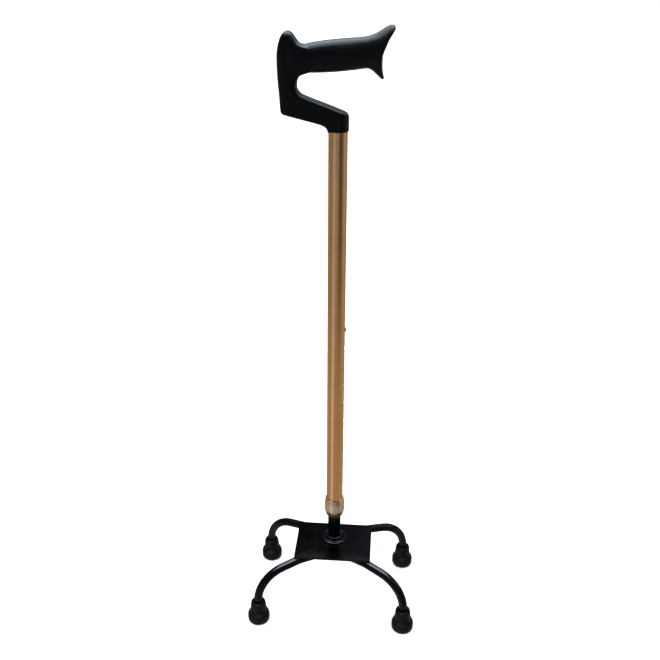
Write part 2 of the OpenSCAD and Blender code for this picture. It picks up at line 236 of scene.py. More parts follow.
# The outer tube, whose axis is the axis of the whole shaft
TUBE_LOW, TUBE_HIGH = box_mm("outer_tube")
TUBE_WALL = 1.4
TUBE_R = (TUBE_HIGH[0] - TUBE_LOW[0]) / 2
TUBE_BORE = TUBE_R - TUBE_WALL
TUBE_TOP = TUBE_HIGH[2]
STEM_Y = float(TUBE_LOW[1] + TUBE_HIGH[1]) / 2

MATERIALS = {
    "handle_plastic": material("handle_plastic", handle_plastic, Specular_IOR_Level=0.12),
    "gold_aluminium": material(
        "gold_aluminium", drawn_metal((0.70, 0.375, 0.145), (0.78, 0.45, 0.19), (1000, 1000, 10)),
        Metallic=1.0, Coat_Weight=0.35, Coat_Roughness=0.12),
    "champagne_aluminium": material(
        "champagne_aluminium",
        drawn_metal((0.74, 0.53, 0.33), (0.84, 0.64, 0.43), (60, 60, 1500), (0.28, 0.38)),
        Metallic=1.0, Coat_Weight=0.3, Coat_Roughness=0.1),
    "black_tube": material("black_tube", tube_coat, Specular_IOR_Level=0.12),
    "black_steel": material("black_steel", coated_steel, Specular_IOR_Level=0.2),
    "tip_rubber": material("tip_rubber", rubber, Specular_IOR_Level=0.15),
    "nylon": material("nylon", plain_plastic((0.66, 0.64, 0.57), (0.76, 0.74, 0.68), 0.45)),
    "dark_nylon": material("dark_nylon",
                           plain_plastic((0.012, 0.012, 0.013), (0.02, 0.02, 0.022), 0.34)),
    "spring_steel": material("spring_steel",
                             plated_steel((0.50, 0.51, 0.53), (0.64, 0.65, 0.67), 0.28),
                             Metallic=1.0),
    "zinc_steel": material("zinc_steel",
                           plated_steel((0.46, 0.47, 0.49), (0.62, 0.62, 0.61), 0.36),
                           Metallic=1.0),
}

# ------------------------------------------------------------------ shape tools


def piece(name, verts, faces, node, body, slot, at=(0, 0, 0), sharp=32):
    """Mesh object from millimetre points, standing for CAD node(s) on a body."""
    mesh = bpy.data.meshes.new(name)
    points = (np.asarray(verts, float) + np.asarray(at, float)) * MM
    mesh.from_pydata(points.tolist(), [], faces)
    bm = bmesh.new()
    bm.from_mesh(mesh)
    bmesh.ops.remove_doubles(bm, verts=bm.verts, dist=1e-7)
    bmesh.ops.recalc_face_normals(bm, faces=bm.faces)
    bm.to_mesh(mesh)
    bm.free()
    mesh.shade_smooth()
    mesh.set_sharp_from_angle(angle=math.radians(sharp))
    made = bpy.data.objects.new(name, mesh)
    bpy.context.scene.collection.objects.link(made)
    mesh.materials.append(MATERIALS[slot])
    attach(made, body)
    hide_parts(*([node] if isinstance(node, str) else node))
    return made


def merge(*parts):
    """One list of vertices and one of faces from several."""
    verts, faces = [], []
    for more_verts, more_faces in parts:
        start = len(verts)
        verts.extend(np.asarray(more_verts, float).tolist())
        faces.extend([tuple(i + start for i in face) for face in more_faces])
    return verts, faces


def bezier(a, b, c, d, n=14):
    """Points of a cubic Bezier curve, without its last point."""
    t = np.arange(n)[:, None] / n
    a, b, c, d = (np.array(p, float) for p in (a, b, c, d))
    return a * (1 - t) ** 3 + 3 * b * t * (1 - t) ** 2 + 3 * c * t * t * (1 - t) + d * t ** 3


def soft(points, steps=6):
    """Closed outline with its corners rounded; each point is x, y and the corner's radius."""
    made = []
    count = len(points)
    for i, (x, y, radius) in enumerate(points):
        here = np.array([x, y], float)
        if radius <= 0:
            made.append(here)
            continue
        back = np.array(points[i - 1][:2], float) - here
        ahead = np.array(points[(i + 1) % count][:2], float) - here
        room = 0.48 * min(np.linalg.norm(back), np.linalg.norm(ahead))
        back, ahead = back / np.linalg.norm(back), ahead / np.linalg.norm(ahead)
        half = math.acos(max(-1.0, min(1.0, float(back @ ahead)))) / 2
        if half > 1.54:
            made.append(here)
            continue
        reach = min(radius / math.tan(half), room)
        radius = reach * math.tan(half)
        middle = (back + ahead) / np.linalg.norm(back + ahead)
        centre = here + middle * radius / math.sin(half)
        start, end = here + back * reach - centre, here + ahead * reach - centre
        a0 = math.atan2(start[1], start[0])
        turn = (math.atan2(end[1], end[0]) - a0 + math.pi) % (2 * math.pi) - math.pi
        for k in range(steps + 1):
            a = a0 + turn * k / steps
            made.append(centre + radius * np.array([math.cos(a), math.sin(a)]))
    return np.array(made)


def lathe(profile, segments=96, closed=True):
    """Turns an outline of (radius, height) round Z. Radius 0 makes a pole."""
    verts, rows = [], []
    for r, z in profile:
        if r < 1e-6:
            rows.append([len(verts)])
            verts.append((0.0, 0.0, z))
        else:
            rows.append(list(range(len(verts), len(verts) + segments)))
            for k in range(segments):
                a = 2 * math.pi * k / segments
                verts.append((r * math.cos(a), r * math.sin(a), z))
    faces = []
    pairs = len(rows) if closed else len(rows) - 1
    for i in range(pairs):
        low, high = rows[i], rows[(i + 1) % len(rows)]
        for k in range(segments):
            j = (k + 1) % segments
            if len(low) == 1 and len(high) == 1:
                break
            if len(low) == 1:
                faces.append((low[0], high[j], high[k]))
            elif len(high) == 1:
                faces.append((low[k], low[j], high[0]))
            else:
                faces.append((low[k], low[j], high[j], high[k]))
    return verts, faces


def loop_skin(rings, close_ends=False, ring_of_rings=False):
    """Skin over rings with the same number of points."""
    n = len(rings[0])
    verts = np.concatenate([np.asarray(r, float) for r in rings])
    faces = []
    pairs = len(rings) if ring_of_rings else len(rings) - 1
    for k in range(pairs):
        m = (k + 1) % len(rings)
        for i in range(n):
            j = (i + 1) % n
            faces.append((k * n + i, k * n + j, m * n + j, m * n + i))
    if close_ends:
        faces.append(tuple(range(n))[::-1])
        faces.append(tuple((len(rings) - 1) * n + i for i in range(n)))
    return verts, faces


# ------------------------------------------------------------------ handle

def outline_distance(x, z, corners):
    """Signed distance in the XZ plane to a closed outline, negative inside."""
    least = np.full(np.broadcast(x, z).shape, 1e18)
    inside = np.zeros(least.shape, bool)
    for (ax, az), (bx, bz) in zip(corners, np.roll(corners, -1, axis=0)):
        ex, ez = bx - ax, bz - az
        wx, wz = x - ax, z - az
        t = np.clip((wx * ex + wz * ez) / (ex * ex + ez * ez), 0, 1)
        least = np.minimum(least, (wx - ex * t) ** 2 + (wz - ez * t) ** 2)
        if abs(ez) > 1e-12:
            inside ^= ((az > z) != (bz > z)) & (x < ax + ex * (z - az) / ez)
    return np.where(inside, -1, 1) * np.sqrt(least)


def smooth_min(a, b, k):
    h = np.clip(0.5 + 0.5 * (b - a) / k, 0, 1)
    return b * (1 - h) + a * h - k * h * (1 - h)


def smooth_max(a, b, k):
    return -smooth_min(-a, -b, k)


def step(value, low, high):
    t = np.clip((value - low) / (high - low), 0, 1)
    return t * t * (3 - 2 * t)


# Outlines of the handle as x and height: the arm with neck and horn, then the grip
SOCKET_R = 12.0
SOCKET_Z = TUBE_TOP
ARM = np.concatenate([
    [[SOCKET_R, SOCKET_Z]],
    bezier([12, 645.4], [11.8, 648.8], [7.4, 650], [3, 651.5]),
    bezier([3, 651.5], [-12, 657.7], [-25, 661.4], [-38, 666.8]),
    bezier([-38, 666.8], [-42.2, 668.8], [-44.4, 672.4], [-44.4, 677.2]),
    bezier([-44.4, 677.2], [-44.4, 683], [-41.5, 688.6], [-34, 689.9]),
    [[-34, 689.9], [-27, 692.5], [-24, 700], [-27, 710]],
    bezier([-32, 716], [-38.8, 716.6], [-42, 718.6], [-45.4, 724.4]),
    bezier([-45.4, 724.4], [-48, 728.8], [-50, 731.4], [-53.4, 731.4]),
    bezier([-53.4, 731.4], [-59.8, 731.4], [-63.1, 720], [-64.4, 709.5]),
    bezier([-64.4, 709.5], [-65.2, 694], [-63.1, 668], [-60.9, 652.4]),
    bezier([-60.9, 652.4], [-60.2, 649], [-58.8, 647.8], [-54.8, 647]),
    bezier([-54.8, 647], [-43, 644], [-31, 641.4], [-19.4, 638.4]),
    bezier([-19.4, 638.4], [-14.6, 637.1], [-11.4, 635], [-10.7, 631.8]),
    [[-10.7, SOCKET_Z]],
])
GRIP_TOP = np.concatenate([
    bezier([-48, 715.4], [-20, 724.2], [6, 724.4], [26, 726.6]),
    bezier([26, 726.6], [38, 728.4], [45, 735.2], [51, 737.9]),
    [[51, 737.9], [53, 738.5], [55.2, 738.4], [57.4, 737.2], [61, 733]],
])
GRIP_BOTTOM = np.concatenate([
    bezier([-48, 690.6], [-20, 689.0], [6, 691.9], [29, 695.4]),
    bezier([29, 695.4], [35, 695.6], [39.6, 688.4], [44.2, 685.4]),
    [[44.2, 685.4], [61, 676]],
])
GRIP_END = np.array([
    [47.9, 683], [47.2, 687], [46.1, 691], [45.5, 696], [45.4, 702], [45.7, 708], [47.3, 713],
    [49.6, 718.5], [52.0, 724], [55.2, 729.4], [57.6, 733.6], [59.0, 739],
])
# x along the grip and half its width there
GRIP_HALF = np.array([[-48, 11.6], [-38, 12.6], [-28, 13.5], [-14, 14.3], [0, 14.7], [14, 14.4],
                      [26, 13.7], [36, 13.9], [44, 15.2], [50, 15.6], [60, 15.6]])
SPIGOT_R = TUBE_BORE - 0.02
SPIGOT_Z = float(box_mm("handle")[0][2])
SPIGOT_TOP = 640.0


def grip_raw(x, y, z):
    """Cross-sections between the top and bottom curves, below 0 inside."""
    top = np.interp(x, GRIP_TOP[:, 0], GRIP_TOP[:, 1])
    bottom = np.interp(x, GRIP_BOTTOM[:, 0], GRIP_BOTTOM[:, 1])
    half = np.interp(x, GRIP_HALF[:, 0], GRIP_HALF[:, 1])
    height = (top - bottom) / 2
    power = 2.25
    across = (np.abs(y) / half) ** power + (np.abs(z - (top + bottom) / 2) / height) ** power
    return (across ** (1 / power) - 1) * np.minimum(half, height)


def grip_field(x, y, z):
    e = 0.05
    at = grip_raw(x, y, z)
    slope = np.sqrt((grip_raw(x + e, y, z) - at) ** 2 + (grip_raw(x, y + e, z) - at) ** 2
                    + (grip_raw(x, y, z + e) - at) ** 2) / e
    end = np.interp(z, GRIP_END[:, 1], GRIP_END[:, 0])
    end_slope = np.interp(z + 0.5, GRIP_END[:, 1], GRIP_END[:, 0]) - np.interp(
        z - 0.5, GRIP_END[:, 1], GRIP_END[:, 0])
    cut = (x - end + 0.006 * y * y) / np.sqrt(1 + end_slope ** 2)
    body = smooth_max(at / np.maximum(slope, 0.35), cut, 2.8)
    return np.maximum(body, -46 - x)


def handle_field(x, y, z):
    """Signed distance, roughly, to the handle's surface. y is from its middle plane."""
    flat = outline_distance(x, z, ARM)
    # Edge radius: 2.6 on the arm, 8.2 on the neck and horn, 1.0 at the socket's mouth
    round_by = 2.6 + 5.6 * step(-x, 38, 52) * step(z, 648, 670)
    round_by = round_by - 1.6 * step(-z, -640, -633)
    inset_a = flat + round_by
    inset_b = np.abs(y) - SOCKET_R + round_by
    slab = (np.minimum(np.maximum(inset_a, inset_b), 0)
            + np.sqrt(np.maximum(inset_a, 0) ** 2 + np.maximum(inset_b, 0) ** 2) - round_by)
    nose = np.sqrt(np.maximum(x, 0) ** 2 + y * y) - SOCKET_R
    slab = smooth_max(slab, nose, 1.2)
    # Fillet between the slab and the grip, wider towards the neck
    blend = 1.4 + 5.2 * step(-x, 27, 46)
    body = smooth_min(slab, grip_field(x, y, z), blend)
    reach = np.abs(z - (SPIGOT_Z + SPIGOT_TOP) / 2) - (SPIGOT_TOP - SPIGOT_Z) / 2
    spigot = np.maximum(np.sqrt(x * x + y * y) - SPIGOT_R, reach)
    return np.minimum(body, spigot)


def surface_nets(field, low, high, size):
    """Quad mesh of field = 0 inside a box, moved onto the exact surface."""
    axes = [np.arange(a, b + size, size) for a, b in zip(low, high)]
    grid = np.meshgrid(*axes, indexing="ij", sparse=True)
    value = np.broadcast_to(field(*grid), [len(a) for a in axes])
    inside = value < 0
    cells = [n - 1 for n in value.shape]
    corners = [(i, j, k) for i in (0, 1) for j in (0, 1) for k in (0, 1)]

    def shifted(array, c):
        return array[c[0]:c[0] + cells[0], c[1]:c[1] + cells[1], c[2]:c[2] + cells[2]]

    total = sum(shifted(inside, c).astype(np.int8) for c in corners)
    active = (total > 0) & (total < 8)
    number = np.full(cells, -1)
    number[active] = np.arange(active.sum())
    at = np.stack(np.nonzero(active), axis=1)
    summed, crossings = np.zeros(at.shape), np.zeros(len(at))
    for a in corners:
        for axis in range(3):
            if a[axis]:
                continue
            b = tuple(1 if n == axis else v for n, v in enumerate(a))
            fa = value[tuple((at + a).T)]
            fb = value[tuple((at + b).T)]
            cross = (fa < 0) != (fb < 0)
            t = np.where(cross, fa / np.where(cross, fa - fb, 1), 0)
            place = np.array(a, float) + t[:, None] * (np.array(b) - np.array(a))
            summed += np.where(cross[:, None], place, 0)
            crossings += cross
    verts = np.array([a[0] for a in axes]) + size * (at + summed / crossings[:, None])
    quads = []
    for axis in range(3):
        u, v = [n for n in range(3) if n != axis]
        if axis == 1:
            u, v = v, u
        change = inside[tuple(slice(1, None) if n == axis else slice(None) for n in range(3))] \
            != inside[tuple(slice(None, -1) if n == axis else slice(None) for n in range(3))]
        where = np.stack(np.nonzero(change), axis=1)
        keep = (where[:, u] > 0) & (where[:, v] > 0)
        keep &= (where[:, u] < cells[u]) & (where[:, v] < cells[v])
        where = where[keep]
        four = []
        for du, dv in ((1, 1), (0, 1), (0, 0), (1, 0)):
            cell = where.copy()
            cell[:, u] -= du
            cell[:, v] -= dv
            four.append(number[tuple(cell.T)])
        four = np.stack(four, axis=1)
        flip = ~inside[tuple(where.T)]
        four[flip] = four[flip][:, ::-1]
        quads.append(four)
    quads = np.concatenate(quads)
    for _ in range(4):
        e = 0.02
        x, y, z = verts.T
        f = field(x, y, z)
        slope = np.stack([field(x + e, y, z) - f, field(x, y + e, z) - f,
                          field(x, y, z + e) - f], axis=1) / e
        move = f[:, None] * slope / np.maximum((slope ** 2).sum(1), 0.2)[:, None]
        length = np.linalg.norm(move, axis=1, keepdims=True)
        verts = verts - move * np.minimum(1, 0.5 * size / np.maximum(length, 1e-9))
    return verts, quads


cell = 0.8
handle_verts, handle_faces = surface_nets(handle_field, (-67, -18, SPIGOT_Z - 2),
                                          (61, 18, 741), cell)
piece("handle_body", handle_verts, handle_faces.tolist(), "handle", "upper",
      "handle_plastic", (0, STEM_Y, 0), sharp=60)


# ------------------------------------------------------------------ shaft

BUTTON_Z = float(sum(box_mm("snap_button")[i][2] for i in (0, 1)) / 2)
HOLE_STEP = 25.4
HOLE_COUNT = 10
HOLE_R = 3.25


def drilled_tube(outer, bore, low, high, hole_heights, hole_r, half_patch=4.7, lip=0.3):
    """Tube with holes on its +X side, built as quads with a small lip at each hole."""
    side = 8
    patch_angle = half_patch / outer
    angles = list(np.linspace(-patch_angle, patch_angle, side + 1))
    rest = 64
    angles += list(patch_angle + (2 * math.pi - 2 * patch_angle) * np.arange(1, rest) / rest)
    heights, kinds = [low, low + lip], [None]
    for z in sorted(hole_heights):
        kinds.append(None)
        start = len(heights)
        heights += list(np.linspace(z - half_patch, z + half_patch, side + 1))
        kinds += [(z, start)] * side
    kinds.append(None)
    heights += [high - lip, high]
    kinds.append(None)
    count = len(angles)
    verts, faces, rims = [], [], []
    for radius, chamfer in ((outer, lip), (bore, 0.15)):
        base = len(verts)
        for row, z in enumerate(heights):
            end = row in (0, len(heights) - 1)
            r = radius + (-chamfer if radius == outer else chamfer) * end
            for a in angles:
                verts.append((r * math.cos(a), r * math.sin(a), z))
        for row in range(len(heights) - 1):
            for col in range(count):
                if kinds[row] and col < side:
                    continue
                nxt = (col + 1) % count
                quad = [base + row * count + col, base + row * count + nxt,
                        base + (row + 1) * count + nxt, base + (row + 1) * count + col]
                faces.append(tuple(quad if radius == outer else quad[::-1]))
        rim = []
        for z, start in sorted({k for k in kinds if k}):
            loop = ([(start, c) for c in range(side)] + [(start + r, side) for r in range(side)]
                    + [(start + side, side - c) for c in range(side)]
                    + [(start + side - r, 0) for r in range(side)])
            ids = [base + r * count + c for r, c in loop]
            bearings = [math.atan2(heights[r] - z, angles[c] * outer) for r, c in loop]
            rings = [ids]
            edge = hole_r + (lip if radius == outer else 0)
            for share in (0.55, 1.0):
                ring = []
                for (r, c), phi in zip(loop, bearings):
                    far = math.hypot(angles[c] * outer, heights[r] - z)
                    reach = far + (edge - far) * share
                    across = reach * math.cos(phi)
                    a = math.asin(max(-1, min(1, across / radius))) if share == 1.0 else \
                        across / outer
                    ring.append(len(verts))
                    verts.append((radius * math.cos(a), radius * math.sin(a),
                                  z + reach * math.sin(phi)))
                rings.append(ring)
            if radius == outer:
                ring = []
                for phi in bearings:
                    y = hole_r * math.cos(phi)
                    ring.append(len(verts))
                    verts.append((math.sqrt((outer - lip) ** 2 - y * y), y,
                                  z + hole_r * math.sin(phi)))
                rings.append(ring)
            for one, two in zip(rings, rings[1:]):
                for i in range(len(one)):
                    j = (i + 1) % len(one)
                    quad = (one[i], one[j], two[j], two[i])
                    faces.append(quad if radius == outer else quad[::-1])
            rim.append(rings[-1])
        rims.append((base, rim))
    for one, two in zip(rims[0][1], rims[1][1]):
        for i in range(len(one)):
            j = (i + 1) % len(one)
            faces.append((one[i], one[j], two[j], two[i]))
    for row in (0, len(heights) - 1):
        for col in range(count):
            nxt = (col + 1) % count
            a, b = rims[0][0] + row * count, rims[1][0] + row * count
            faces.append((a + col, a + nxt, b + nxt, b + col))
    return verts, faces


holes = [BUTTON_Z - HOLE_STEP * i for i in range(HOLE_COUNT)]
piece("shaft_outer", *drilled_tube(TUBE_R, TUBE_BORE, TUBE_LOW[2], TUBE_HIGH[2], holes, HOLE_R),
      "outer_tube", "upper", "gold_aluminium", (0, STEM_Y, 0))

INNER_LOW, INNER_HIGH = box_mm("inner_tube")
INNER_R = (INNER_HIGH[0] - INNER_LOW[0]) / 2
INNER_WALL = 1.5
INNER_HOLE_R = 3.15
INSERT_R = INNER_R - INNER_WALL - 0.02
piece("shaft_inner", *drilled_tube(INNER_R, INNER_R - INNER_WALL, INNER_LOW[2], INNER_HIGH[2],
                                   [BUTTON_Z], INNER_HOLE_R, 4.4, 0.25),
      "inner_tube", "base", "black_tube", (0, STEM_Y, 0))

# Lock nut: rounded foot, straight middle and an upper cone with a rolled edge
NUT_LOW, NUT_HIGH = box_mm("lock_nut")
NUT_R = (NUT_HIGH[0] - NUT_LOW[0]) / 2
n0, n1 = NUT_LOW[2], NUT_HIGH[2]
nut_outside = np.concatenate([
    bezier([9.9, n0], [11.2, n0 + 1.0], [NUT_R, n0 + 7], [NUT_R, n0 + 11]),
    bezier([NUT_R, n0 + 11], [NUT_R, n0 + 13], [NUT_R, n0 + 16], [NUT_R, n0 + 18], 4),
    bezier([NUT_R, n0 + 18], [NUT_R, n0 + 21], [12.5, n1 - 3.4], [12.0, n1 - 0.7]),
    bezier([12.0, n1 - 0.7], [11.95, n1 - 0.2], [11.8, n1], [11.5, n1], 5),
])
bore = TUBE_R + 0.08
THREAD_BORE = 10.28
thread_top = n0 + 14.6
nut_inside = np.array([[bore, n1], [bore, thread_top], [THREAD_BORE, thread_top],
                       [THREAD_BORE, n0 + 2],
                       [INNER_R + 0.45, n0 + 2], [INNER_R + 0.4, n0 + 0.3],
                       [INNER_R + 0.65, n0], [9.4, n0]])
piece("collar_nut", *lathe(np.concatenate([nut_outside, nut_inside]), 128),
      "lock_nut", "collar", "champagne_aluminium", (0, STEM_Y, 0))

# Snap button: a turned pin with a domed end, pointing along +X
BUTTON_LOW, BUTTON_HIGH = box_mm("snap_button")
BUTTON_R = 3.0
button_x0, button_x1 = BUTTON_LOW[0], BUTTON_HIGH[0]
button_profile = np.concatenate([
    [[0, button_x0], [BUTTON_R - 0.4, button_x0], [BUTTON_R, button_x0 + 0.4]],
    bezier([BUTTON_R, button_x1 - 1.5], [BUTTON_R, button_x1 - 0.6], [1.8, button_x1],
           [0.7, button_x1]),
    [[0, button_x1]],
])
button_verts, button_faces = lathe(button_profile, 48, closed=False)
button_verts = [(z, x, y + BUTTON_Z) for x, y, z in button_verts]
piece("button", button_verts, button_faces, "snap_button", "button", "spring_steel",
      (0, STEM_Y, 0))

# Handle screw: domed head with a cross recess, at the back of the tube
SCREW_LOW, SCREW_HIGH = box_mm("handle_screw")
SCREW_Z = float(SCREW_LOW[2] + SCREW_HIGH[2]) / 2
SHANK_R = 1.9
HEAD_R = 3.38
HEAD_RISE = 1.45
HEAD_SEAT = TUBE_R + 0.15


def cross_depth(x, y):
    """How deep the screw's cross recess is at a point of its head."""
    arm = np.minimum(np.abs(x), np.abs(y))
    reach = np.maximum(np.abs(x), np.abs(y))
    return step(-arm, -0.62, -0.38) * step(-reach, -2.0, -1.5)


def screw_mesh():
    rings, segments = [], 96
    profile = [(SHANK_R, 1.0), (SHANK_R, TUBE_R - 0.3), (3.2, TUBE_R - 0.1),
               (HEAD_R, HEAD_SEAT)]
    head = [(HEAD_R * math.sin(t), HEAD_SEAT + HEAD_RISE * math.cos(t))
            for t in np.linspace(math.pi / 2, 0.02, 26)]
    for r, z in profile + head[1:]:
        ring = []
        for k in range(segments):
            a = 2 * math.pi * k / segments
            x, y = r * math.cos(a), r * math.sin(a)
            deep = float(cross_depth(x, y)) if z > TUBE_R + 0.2 else 0.0
            ring.append((x, z - deep, y))
        rings.append(ring)
    return loop_skin(rings, close_ends=True)


piece("fixing_screw", *screw_mesh(), "handle_screw", "upper", "zinc_steel",
      (0, STEM_Y, SCREW_Z), sharp=40)

# ------------------------------------------------------------------ base

PLATE_LOW, PLATE_HIGH = box_mm("base_plate")
PLATE_TOP, PLATE_UNDER = PLATE_HIGH[2], PLATE_LOW[2]
PLATE_CORNER = 2.6
PLATE_EDGE = 0.5
BOLT_HOLE_R = 4.3


def plate_ring(inset, z, along=8):
    """Rounded rectangle of the plate, drawn in by inset."""
    middle = (PLATE_LOW + PLATE_HIGH) / 2
    hx, hy = PLATE_HIGH[0] - inset, PLATE_HIGH[1] - middle[1] - inset
    r = PLATE_CORNER - inset
    points = []
    for sx, sy, start in ((1, 1, 0), (-1, 1, 90), (-1, -1, 180), (1, -1, 270)):
        for k in range(7):
            a = math.radians(start + 15 * k)
            points.append((sx * (hx - r) + r * math.cos(a), sy * (hy - r) + r * math.sin(a)))
        a = points[-1]
        step_x, step_y = {0: (-1, 0), 90: (0, -1), 180: (1, 0), 270: (0, 1)}[start]
        length = 2 * (hx - r) if step_x else 2 * (hy - r)
        for k in range(1, along):
            points.append((a[0] + step_x * length * k / along, a[1] + step_y * length * k / along))
    return np.array([(x, y + middle[1], z) for x, y in points])


def plate_mesh():
    """Plate with rolled edges and a bolt hole, as rings that run over the edge."""
    edge = PLATE_EDGE
    rings = []
    for k in range(6):
        t = math.radians(90 * k / 5)
        rings.append(plate_ring(edge * (1 - math.sin(t)), PLATE_TOP - edge * (1 - math.cos(t))))
    for k in range(6):
        t = math.radians(90 * k / 5)
        rings.append(plate_ring(edge * (1 - math.cos(t)), PLATE_UNDER + edge * (1 - math.sin(t))))
    centre = np.array([0, STEM_Y, 0])
    inner = []
    for z, ring in ((PLATE_UNDER, rings[-1]), (PLATE_TOP, rings[0])):
        away = ring - centre
        away[:, 2] = 0
        unit = away / np.linalg.norm(away, axis=1, keepdims=True)
        for share in ((0.5, 0) if z == PLATE_UNDER else (0, 0.5)):
            reach = BOLT_HOLE_R + (np.linalg.norm(away, axis=1) - BOLT_HOLE_R) * share
            inner.append(centre + unit * reach[:, None] + [0, 0, z])
    return loop_skin(rings + inner, ring_of_rings=True)


piece("plate", *plate_mesh(), "base_plate", "base", "black_steel")

# Turned flange with a rounded rim, a hollow and a neck
HUB_LOW, HUB_HIGH = box_mm("stem_hub")
HUB_R = (HUB_HIGH[0] - HUB_LOW[0]) / 2
h0, h1 = HUB_LOW[2], HUB_HIGH[2]
hub_outline = soft([(INNER_R + 0.02, h0, 0), (HUB_R, h0, 0.15), (HUB_R, h0 + 3.0, 1.6),
                    (13.4, h0 + 3.0, 1.4), (12.6, h0 + 1.6, 0.8), (11.0, h0 + 1.6, 0.8),
                    (10.2, h1, 1.8), (INNER_R + 0.02, h1, 0.25)], 7)
piece("hub", *lathe(hub_outline, 128), "stem_hub", "base", "black_steel", (0, STEM_Y, 0))

# Bolt with a chamfered hexagon head
BOLT_LOW, BOLT_HIGH = box_mm("stem_bolt")


def bolt_mesh():
    b0, b1 = BOLT_LOW[2], BOLT_HIGH[2]
    head = 5.3
    shank = 4.0
    flat = float(BOLT_HIGH[1] - BOLT_LOW[1]) / 2
    segments = 96
    turn = math.radians(30)
    rings = []

    def ring(z, reach=math.inf):
        """Hexagon across the flats, cut to a circle of radius reach."""
        made = []
        for k in range(segments):
            a = 2 * math.pi * k / segments
            r = min(flat / math.cos((a - turn) % (2 * turn) - turn), reach)
            made.append((r * math.cos(a + turn), r * math.sin(a + turn), z))
        rings.append(made)

    ring(b0, 1.2)
    ring(b0, flat - 0.5)
    ring(b0, flat - 0.1)
    for k in range(1, 6):
        ring(b0 + 0.16 * k, flat - 0.1 + 0.27 * k)
    ring(b0 + head - 0.15)
    ring(b0 + head, flat - 0.15)
    ring(b0 + head, shank)
    for k in range(1, 30):
        z = b0 + head + 6 + 0.5 * k
        if z > b1 - 1:
            break
        ring(z, shank - 0.22 * (k % 2))
    ring(b1 - 0.6, 3.9)
    ring(b1, 3.3)
    return loop_skin(rings, close_ends=True)


piece("bolt", *bolt_mesh(), "stem_bolt", "base", "zinc_steel", (0, STEM_Y, 0), sharp=28)

# Legs: the CAD centreline, swept with a fine round section
LEG_R = 5.5
LEG_WALL = 1.5
TIP_LOW, TIP_HIGH = box_mm("back_right_tip")
FOOT_X = float(TIP_LOW[0] + TIP_HIGH[0]) / 2
FOOT_Y = float(TIP_LOW[1] + TIP_HIGH[1]) / 2
LEG_Z = PLATE_UNDER - LEG_R
LEG_END = box_mm("back_leg_tube")[0][2]
# Half of the straight, the bend in plan, then the dip, the slope and the drop to the foot
MID_HALF, PLAN_R, PLAN_ANGLE = 12.0, 16.0, math.radians(28.8)
DIP_R, DIP_ANGLE, SLOPE_RUN, DROP_R = 30.0, math.radians(11), 21.0, 43.0


def leg_entries():
    """Half of the centreline: point, heading in plan and angle of descent."""
    plan_x = MID_HALF + PLAN_R * math.sin(PLAN_ANGLE)
    dip_reach = (DIP_R * math.sin(DIP_ANGLE) + SLOPE_RUN * math.cos(DIP_ANGLE)
                 + DROP_R * (1 - math.sin(DIP_ANGLE)))
    flat_run = (FOOT_X - plan_x) / math.cos(PLAN_ANGLE) - dip_reach
    start_y = (FOOT_Y - PLAN_R * (1 - math.cos(PLAN_ANGLE))
               - (flat_run + dip_reach) * math.sin(PLAN_ANGLE))
    made = [(np.array([0.0, start_y, LEG_Z]), 0.0, 0.0)]
    for a in np.linspace(0, PLAN_ANGLE, 9):
        made.append((np.array([MID_HALF + PLAN_R * math.sin(a),
                               start_y + PLAN_R * (1 - math.cos(a)), LEG_Z]), a, 0.0))
    bend = made[-1][0]
    out = np.array([math.cos(PLAN_ANGLE), math.sin(PLAN_ANGLE), 0])
    for a in np.linspace(0, DIP_ANGLE, 5):
        made.append((bend + (flat_run + DIP_R * math.sin(a)) * out
                     - [0, 0, DIP_R * (1 - math.cos(a))], PLAN_ANGLE, a))
    slope = np.array([*(out[:2] * math.cos(DIP_ANGLE)), -math.sin(DIP_ANGLE)])
    start = made[-1][0] + slope * SLOPE_RUN
    for a in np.linspace(DIP_ANGLE, math.pi / 2, 25):
        made.append((start + DROP_R * (math.sin(a) - math.sin(DIP_ANGLE)) * out
                     - [0, 0, DROP_R * (math.cos(DIP_ANGLE) - math.cos(a))], PLAN_ANGLE, a))
    made.append((np.array([FOOT_X, FOOT_Y, LEG_END]), PLAN_ANGLE, math.pi / 2))
    return made, start_y


def leg_ring(entry, r, n=40):
    """Ring of points round the centreline at an entry."""
    point, plan, fall = entry
    ahead = np.array([math.cos(plan) * math.cos(fall), math.sin(plan) * math.cos(fall),
                      -math.sin(fall)])
    across = np.array([-math.sin(plan), math.cos(plan), 0])
    up = np.cross(ahead, across)
    a = np.linspace(0, 2 * math.pi, n, endpoint=False)[:, None]
    return point + r * (np.cos(a) * across + np.sin(a) * up)


half_line, LEG_Y = leg_entries()
full_line = [(p * [-1, 1, 1], -plan, -fall) for p, plan, fall in half_line[:0:-1]] + half_line
leg_verts, leg_faces = loop_skin(
    [leg_ring(e, LEG_R) for e in full_line] + [leg_ring(e, LEG_R - LEG_WALL)
                                               for e in full_line[::-1]], ring_of_rings=True)
piece("leg_back", leg_verts, leg_faces, "back_leg_tube", "base", "black_steel")
piece("leg_front", leg_verts * [1, -1, 1], leg_faces, "front_leg_tube", "base", "black_steel")


BEAD_L, BEAD_R, BEAD_OUT = 22.0, 1.9, 3.7


